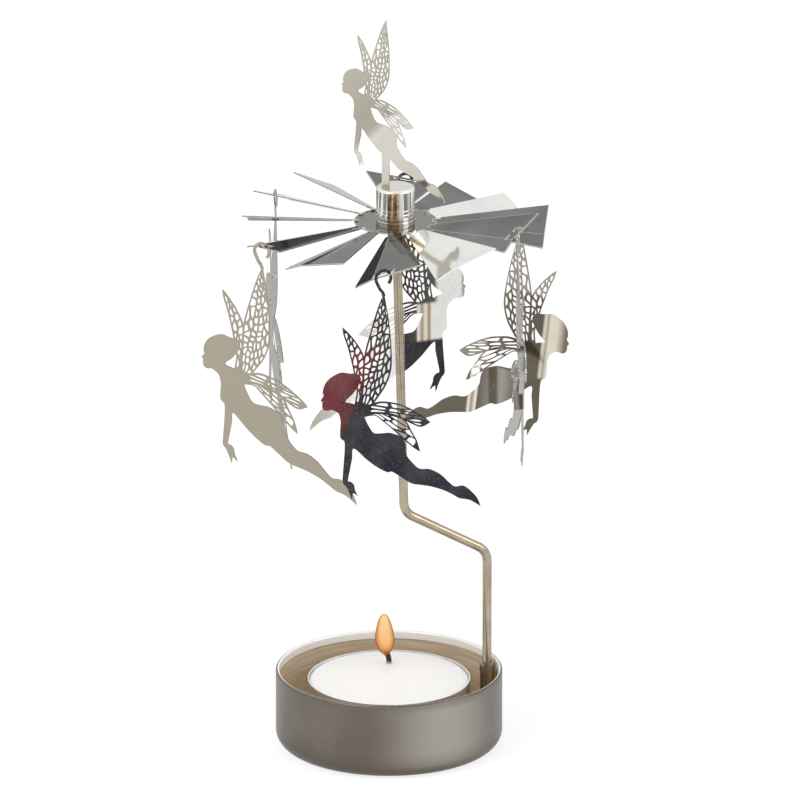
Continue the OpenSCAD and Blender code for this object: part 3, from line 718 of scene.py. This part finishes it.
# %% [markdown]
# ## Cutting the figures
# A flat curve in Blender fills its outer loop and leaves the inner loops open,
# which is just what a sheet with holes needs. Body, wings and hook are filled
# one by one. Where they overlap, two faces in the same place would shimmer, so
# the wings are a hair thinner than the body and the hook lies between them.
# The result becomes one plain mesh, made once and used for all figures.
# %% Cut one figure out of sheet
SHEET = 0.35 * MM
HAIR = 0.01 * MM


def flat_part(loops, thickness):
    """A filled flat curve, extruded to its thickness, as a mesh."""
    curve = bpy.data.curves.new("cut_line", "CURVE")
    curve.dimensions = "2D"
    curve.fill_mode = "BOTH"
    curve.extrude = thickness / 2
    for loop in loops:
        line = curve.splines.new("POLY")
        line.points.add(len(loop) - 1)
        line.use_cyclic_u = True
        for target, point in zip(line.points, loop):
            target.co = (point.x, point.y, 0, 1)
    holder = bpy.data.objects.new("cut_line", curve)
    bpy.context.scene.collection.objects.link(holder)
    bpy.context.view_layer.update()
    evaluated = holder.evaluated_get(bpy.context.evaluated_depsgraph_get())
    mesh = bpy.data.meshes.new_from_object(evaluated)
    bpy.data.objects.remove(holder)
    return mesh


def ribbon(points, width):
    """The outline of a strip of even width along a line."""
    there, back = [], []
    for i, point in enumerate(points):
        run = points[min(i + 1, len(points) - 1)] - points[max(i - 1, 0)]
        side = Vector((-run.y, run.x)).normalized() * width / 2
        there.append(point - side)
        back.append(point + side)
    return there + back[::-1]


def hook_line():
    """The middle line of the hook: most of a ring, then the shank."""
    mean = HOOK_RADIUS - HOOK_WIDTH / 2
    turns = [math.radians(degrees) for degrees in range(-48, 205, 6)]
    ring = [Vector((math.cos(turn), math.sin(turn))) * mean for turn in turns]
    shank = [ring[-1]] + to_sheet([(-0.014, -0.078), (-0.003, -0.092), (0.002, -0.108)])
    return ring + [along(shank, k / 8) for k in range(1, 9)]


def one_mesh(name, parts):
    """Joins meshes into one and welds the seams of each."""
    work = bmesh.new()
    for part in parts:
        work.from_mesh(part)
    bmesh.ops.remove_doubles(work, verts=work.verts, dist=1e-7)
    mesh = bpy.data.meshes.new(name)
    work.to_mesh(mesh)
    work.free()
    return mesh


body_part = flat_part([body_loop], SHEET)
wing_meshes = [
    flat_part([outline] + holes, SHEET - 2 * HAIR * (k + 1)) for k, (outline, holes) in enumerate(WINGS)
]
hook_part = flat_part([ribbon(hook_line(), HOOK_WIDTH)], SHEET - HAIR)
FIGURE_MESH = one_mesh("winged_figure", [body_part, hook_part] + wing_meshes)
print("figure mesh", len(FIGURE_MESH.polygons), "faces")

# %% [markdown]
# ## Tones over the drawing
# A mirror tone belongs to one part of a sheet, such as the head or a wing, so
# it has to know where that part is. Each corner of the mesh therefore keeps its
# place in the figure's drawing as its UV, and that place stays with it however
# the figure is turned. A zone is a row of tones along one direction of the
# drawing. It starts at some height and covers the zones below it, and dust
# specks can lie on it.
# %% Make tones that follow the drawing
FROM_FEET = -2
ZONE_BLUR = 0.006
DUST = (0.3, 0.31, 0.34)
SHADE = 0.13


def mark_drawing(mesh, undo=Matrix.Identity(4)):
    """Writes each corner's place in the drawing, in shares of the figure's height, as its UV."""
    layer = mesh.uv_layers.new(name="drawing")
    for loop in mesh.loops:
        at = undo @ mesh.vertices[loop.vertex_index].co
        layer.data[loop.index].uv = (at.x / FIGURE_HEIGHT, (at.y - HOOK_RADIUS) / FIGURE_HEIGHT)


def zone(bands, begins=FROM_FEET, run=(1, 0), specks=0.0):
    """Bands are (place, colour) pairs along the direction run."""
    return bands, begins, run, specks


def banded(tree, bands, run):
    """The tone of the bands, and the height in the drawing."""
    drawing = add(tree, "ShaderNodeUVMap", uv_map="drawing")
    split = add(tree, "ShaderNodeSeparateXYZ")
    join(tree, drawing.outputs["UV"], split.inputs[0])
    low, high = bands[0][0], bands[-1][0]
    across = maths(tree, "MULTIPLY", split.outputs[0], run[0])
    upwards = maths(tree, "MULTIPLY", split.outputs[1], run[1])
    tones = add(tree, "ShaderNodeValToRGB")
    stops = tones.color_ramp.elements
    stops[1].position = 1.0
    for at, _ in bands[1:-1]:
        stops.new((at - low) / (high - low))
    for stop, (_, colour) in zip(sorted(stops, key=lambda s: s.position), bands):
        stop.color = (*colour, 1)
    join(tree, ramp(tree, maths(tree, "ADD", across, upwards), low, high), tones.inputs[0])
    return tones.outputs[0], split.outputs[1]


def dusted(tree, tone, specks):
    where, _, _, _ = place_xyz(tree)
    dust = add(tree, "ShaderNodeTexNoise", scale=1900.0, detail=3.0)
    join(tree, where, dust.inputs["Vector"])
    return mix_colour(tree, ramp(tree, dust.outputs[0], 0.56, 0.66, 0.0, specks), tone, DUST)


def zoned(zones):
    """The zones of one figure over each other, from the feet up."""
    def tone_of(tree):
        shown = None
        for bands, begins, run, specks in zones:
            tone, height = banded(tree, bands, run)
            if specks:
                tone = dusted(tree, tone, specks)
            if shown is None:
                shown = tone
            else:
                above = ramp(tree, height, begins - ZONE_BLUR, begins + ZONE_BLUR)
                shown = mix_colour(tree, above, shown, tone)
        return mix_colour(tree, SHADE, shown, (0.0, 0.0, 0.0))
    return tone_of


mark_drawing(FIGURE_MESH)
print("figure's maps", [layer.name for layer in FIGURE_MESH.uv_layers])

# %% [markdown]
# ## The tones of each figure
# The figures hang in different directions, so each mirrors another part of the
# room. These tones stand in for that room and are listed from the feet up.
# Places and heights are shares of the figure's height, as in the outline.
# %% Choose the tones
KHAKI = (0.43, 0.395, 0.31)
BEIGE = (0.74, 0.7, 0.57)
DARK_BEIGE = (0.13, 0.112, 0.085)
NIGHT = (0.034, 0.03, 0.037)
MAROON = (0.18, 0.045, 0.052)
WINE = (0.125, 0.02, 0.022)
INK = (0.05, 0.03, 0.03)
WHITE = (1.0, 1.0, 0.98)
STONE = (0.46, 0.44, 0.4)
SAND = (0.5, 0.45, 0.38)

EDGE_ON = [zone([(-0.3, STONE), (0.45, STONE)], specks=0.9)]
TONES = {
    "a": [zone([(-0.3, KHAKI), (0.45, (0.4, 0.36, 0.28))])],
    "b": [
        zone([(-0.12, MAROON), (0.07, MAROON), (0.11, WINE), (0.14, WINE), (0.158, NIGHT),
              (0.9, (0.03, 0.034, 0.05))], run=(0.88, -0.475), specks=0.14),
        zone([(-0.3, INK), (0.4, INK)], begins=-0.31, specks=0.4),
    ],
    "c": [
        zone([(-0.28, DARK_BEIGE), (-0.06, DARK_BEIGE), (0.0, (0.36, 0.34, 0.31)),
              (0.05, (0.26, 0.24, 0.21)), (0.092, DARK_BEIGE), (0.098, (1.0, 0.97, 0.9)),
              (0.114, (0.35, 0.27, 0.15)), (0.126, (0.95, 0.9, 0.78)), (0.135, DARK_BEIGE),
              (0.42, (0.17, 0.15, 0.12))]),
        zone([(-0.28, (0.1, 0.085, 0.06)), (-0.235, (0.2, 0.175, 0.125)), (-0.2, BEIGE),
              (-0.17, BEIGE), (-0.16, (0.4, 0.36, 0.27)), (-0.148, BEIGE), (-0.138, DARK_BEIGE),
              (0.0, DARK_BEIGE), (0.06, (0.3, 0.27, 0.22))], begins=-0.66),
        zone([(-0.28, (0.42, 0.39, 0.32)), (0.4, (0.2, 0.185, 0.16))], begins=-0.33, specks=0.6),
    ],
    "d": [
        zone([(-0.28, NIGHT), (0.0, NIGHT), (0.016, WHITE), (0.2, WHITE), (0.36, (0.6, 0.56, 0.48))],
             specks=0.2),
        zone([(-0.28, WHITE), (-0.11, WHITE), (-0.1, (0.45, 0.3, 0.12)), (-0.085, WHITE),
              (-0.07, (0.5, 0.34, 0.14)), (-0.055, WHITE), (-0.045, (0.1, 0.08, 0.05)),
              (0.0, INK), (0.016, WHITE), (0.4, (0.6, 0.57, 0.5))], begins=-0.69),
        zone([(-0.28, (0.4, 0.4, 0.39)), (-0.238, (0.5, 0.5, 0.49)), (-0.232, WHITE),
              (-0.14, WHITE), (-0.12, (0.12, 0.12, 0.11)), (0.0, INK), (0.05, SAND), (0.4, SAND)],
             begins=-0.54, specks=0.2),
    ],
    "e": EDGE_ON,
    "f": EDGE_ON,
    "top": [
        zone([(0.1, (0.56, 0.52, 0.44)), (0.36, (0.44, 0.41, 0.34)), (0.43, (0.46, 0.43, 0.36)),
              (0.47, (0.74, 0.7, 0.64)), (0.62, (0.72, 0.68, 0.6)), (1.0, (0.62, 0.57, 0.46))],
             run=(0.726, -0.688)),
    ],
}
print("zones of tone", {letter: len(zones) for letter, zones in TONES.items()})

# %% [markdown]
# ## Hanging the figures
# Each hanging figure swings about the centre of its hook's ring, so the
# joint in the measured model already says where it hangs and which way its
# feet point. Only the tilt in its own plane is added, in degrees, for the one
# that hangs a little askew. One figure is duller, so that it mirrors its
# neighbour less.
# %% Hang the figures
TILTS = {"c": 7}
DULLED = {"d": 0.4}


def stand_up(place, turn, tilt):
    """A flat drawing is stood upright at a place, turned and tilted."""
    return (
        Matrix.Translation(place) @ Matrix.Rotation(turn, 4, "Z")
        @ Matrix.Rotation(math.pi / 2, 4, "X") @ Matrix.Rotation(tilt, 4, "Z")
    )


def new_piece(name, mesh, finish, body):
    """An object that rides on a body, in one finish and with one slot name."""
    piece = bpy.data.objects.new(name, mesh)
    bpy.context.scene.collection.objects.link(piece)
    dress(piece, finish)
    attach(piece, body)
    return piece


joints = {joint["name"]: joint for joint in frame["joints"]}
for letter in "abcdef":
    roughness = DULLED.get(letter, SMOOTH)
    finish = mirror_sheet(f"polished_{letter}", zoned(TONES[letter]), roughness, SHEET_WAVES)
    joint = joints[f"figure_{letter}_swing"]
    feet = math.atan2(joint["axis"][0], -joint["axis"][1])
    mesh = FIGURE_MESH.copy()
    mesh.transform(stand_up(Vector(joint["pos_m"]), feet, math.radians(TILTS.get(letter, 0))))
    piece = new_piece(f"figure_{letter}_sheet", mesh, finish, f"hanging_{letter}")
    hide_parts(f"figure_{letter}")

# %% [markdown]
# ## The figure on top
# The top figure is the same drawing at three quarters of the size. It has no
# hook and stands on a flat post that goes into the cap.
# %% Set the top figure on its post
TOP_SHARE = 0.75
CAP_TOP = 136.94 * MM
POST_WIDTH = 2 * MM
POST_DEPTH = 1.3 * MM
POST_REACH = 2.7 * MM
POST_TURN = math.radians(214)
TOP_TURN = math.radians(-34)
TOP_TILT = math.radians(-2)
TOE_DROP = 0.6 * MM
HIP_SHARE = -0.76
post_place = Vector((AXIS_X, 0, 0)) + Vector((math.cos(POST_TURN), math.sin(POST_TURN), 0)) * POST_REACH
lift = CAP_TOP - TOE_DROP + (FIGURE_HEIGHT - HOOK_RADIUS) * TOP_SHARE
hip = lift + (HIP_SHARE * FIGURE_HEIGHT + HOOK_RADIUS) * TOP_SHARE
post_loop = [Vector((x, y)) for x, y in (
    (-POST_WIDTH / 2, CAP_TOP - POST_DEPTH), (POST_WIDTH / 2, CAP_TOP - POST_DEPTH),
    (POST_WIDTH / 2, hip), (-POST_WIDTH / 2, hip))]
top_body = one_mesh("top_body", [body_part] + wing_meshes)
shrink = Matrix.Diagonal((TOP_SHARE, TOP_SHARE, 1, 1))
to_top = Matrix.Translation((0, lift, 0)) @ Matrix.Rotation(TOP_TILT, 4, "Z") @ shrink
top_body.transform(to_top)
post = flat_part([post_loop], SHEET - 1.5 * HAIR)
TOP_MESH = one_mesh("top_winged_figure", [top_body, post])
mark_drawing(TOP_MESH, to_top.inverted())
TOP_MESH.transform(stand_up(post_place, TOP_TURN, 0))
top_finish = mirror_sheet("polished_top", zoned(TONES["top"]), SMOOTH, SHEET_WAVES)
top_piece = new_piece("top_figure_sheet", TOP_MESH, top_finish, "rotor")
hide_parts("top_figure")
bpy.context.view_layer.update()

# %% [markdown]
# ## The flame
# A candle flame is a thin shell of glowing soot. A full simulation of fire
# would be far too heavy for something so small and steady. A turned drop that
# leans a little is enough: cream in the middle, orange where the shell is seen
# edge on, and clearer at its foot round the wick.
# %% Light the flame
FLAME_FOOT = Vector((-0.75, -0.1, 21.6)) * MM
FLAME_HEIGHT = 10.2 * MM
FLAME_HALF_WIDTH = 2.3 * MM
LEVELS = 40
SIDES = 40


def flame_mesh():
    """A drop turned about a gently bent axis."""
    profile = [(0.0, 0.25), (0.06, 0.5), (0.16, 0.78), (0.3, 0.97), (0.42, 1.0), (0.55, 0.92),
               (0.68, 0.8), (0.8, 0.65), (0.9, 0.47), (0.965, 0.27), (1.0, 0.0)]
    heights = [Vector((h, w)) for h, w in profile]
    turns = [math.tau * i / SIDES for i in range(SIDES)]
    work = bmesh.new()
    rings = []
    for k in range(LEVELS + 1):
        share, width = along(heights, k / LEVELS)
        reach = FLAME_HALF_WIDTH * max(width, 0.0)
        lean = (0.3 * share ** 2 - 0.7 * share) * MM
        middle = FLAME_FOOT + Vector((lean, 0, FLAME_HEIGHT * share))
        rings.append([work.verts.new(middle + Vector((math.cos(a), math.sin(a), 0)) * reach) for a in turns])
    for low, high in zip(rings, rings[1:]):
        for i in range(SIDES):
            j = (i + 1) % SIDES
            work.faces.new((low[i], low[j], high[j], high[i]))
    work.faces.new(rings[0][::-1])
    bmesh.ops.remove_doubles(work, verts=work.verts, dist=1e-6)
    mesh = bpy.data.meshes.new("flame")
    work.to_mesh(mesh)
    work.free()
    for face in mesh.polygons:
        face.use_smooth = True
    return mesh


def flame_finish():
    material, tree, shader = new_material("flame_glow")
    _, _, _, z = place_xyz(tree)
    edge = add(tree, "ShaderNodeLayerWeight", blend=0.5)
    rim = ramp(tree, edge.outputs["Facing"], 0.1, 0.62)
    height = ramp(tree, z, FLAME_FOOT.z, FLAME_FOOT.z + FLAME_HEIGHT)
    core = mix_colour(tree, height, (0.9, 0.42, 0.13), (1.0, 0.7, 0.36))
    shell = mix_colour(tree, height, (0.35, 0.1, 0.02), (0.62, 0.24, 0.06))
    glow = mix_colour(tree, rim, core, shell)
    foot = ramp(tree, height, 0.0, 0.22)
    glow = mix_colour(tree, foot, (0.4, 0.12, 0.04), glow)
    join(tree, glow, shader.inputs["Emission Color"])
    shader.inputs["Emission Strength"].default_value = 1.0
    shader.inputs["Base Color"].default_value = (0, 0, 0, 1)
    shader.inputs["Roughness"].default_value = 1.0
    shader.inputs["Specular IOR Level"].default_value = 0.0
    join(tree, ramp(tree, height, 0.0, 0.25, 0.55, 1.0), shader.inputs["Alpha"])
    return material


flame = new_piece("candle_flame", flame_mesh(), flame_finish(), "tealight")
flame.visible_shadow = False
print("flame", [round(v / MM, 1) for v in flame.dimensions], "mm")

# %% [markdown]
# ## The studio: floor and lamps
# The picture has a pure white ground. More lamp light would bleach the metal,
# so the floor and the world only look white to the camera and in reflections,
# and the light that they give is weaker. The floor still answers to the lamps
# a little, which keeps the candlestick's soft shadow.
# %% Build the floor and the lamps
FLOOR_DROP = 0.05 * MM
LAMP_AIM_HEIGHT = 70 * MM


def seen_directly(tree):
    """1 for rays of the camera, of reflections and of clear glass."""
    path = tree.nodes.new("ShaderNodeLightPath")
    total = maths(tree, "MAXIMUM", path.outputs["Is Camera Ray"], path.outputs["Is Glossy Ray"])
    return maths(tree, "MAXIMUM", total, path.outputs["Is Transmission Ray"])


def white_world(ambient):
    """White to look at, with ambient as the strength of its light."""
    world = bpy.data.worlds.new("white_studio")
    bpy.context.scene.world = world
    world.use_nodes = True
    tree = world.node_tree
    background = tree.nodes["Background"]
    background.inputs["Color"].default_value = (1, 1, 1, 1)
    level = maths(tree, "ADD", maths(tree, "MULTIPLY", seen_directly(tree), 1 - ambient), ambient)
    join(tree, level, background.inputs["Strength"])


def white_floor(radius):
    work = bmesh.new()
    bmesh.ops.create_circle(work, cap_ends=True, segments=96, radius=radius)
    mesh = bpy.data.meshes.new("studio_floor")
    work.to_mesh(mesh)
    work.free()
    floor = bpy.data.objects.new("studio_floor", mesh)
    floor.location.z = -FLOOR_DROP
    bpy.context.scene.collection.objects.link(floor)
    material = bpy.data.materials.new("floor_white")
    material.use_nodes = True
    tree = material.node_tree
    tree.nodes.clear()
    paint = add(tree, "ShaderNodeBsdfDiffuse")
    paint.inputs["Color"].default_value = (0.3, 0.3, 0.3, 1)
    glow = add(tree, "ShaderNodeEmission")
    join(tree, maths(tree, "MULTIPLY", seen_directly(tree), 0.78), glow.inputs["Strength"])
    both = tree.nodes.new("ShaderNodeAddShader")
    out = tree.nodes.new("ShaderNodeOutputMaterial")
    join(tree, paint.outputs[0], both.inputs[0])
    join(tree, glow.outputs[0], both.inputs[1])
    join(tree, both.outputs[0], out.inputs[0])
    mesh.materials.append(material)


def soft_lamp(name, place, size, watts):
    data = bpy.data.lights.new(name, "AREA")
    data.shape = "DISK"
    data.size = size
    data.energy = watts
    lamp = bpy.data.objects.new(name, data)
    bpy.context.scene.collection.objects.link(lamp)
    lamp.location = place
    aim(lamp, (0, 0, LAMP_AIM_HEIGHT))


white_world(ambient=0.74)
white_floor(radius=3.0)
soft_lamp("window_lamp", (-0.5, -0.55, 0.75), size=0.5, watts=3.2)
soft_lamp("fill_lamp", (0.7, -0.3, 0.45), size=0.5, watts=1.3)
print("lamps", [lamp.name for lamp in bpy.data.lights])
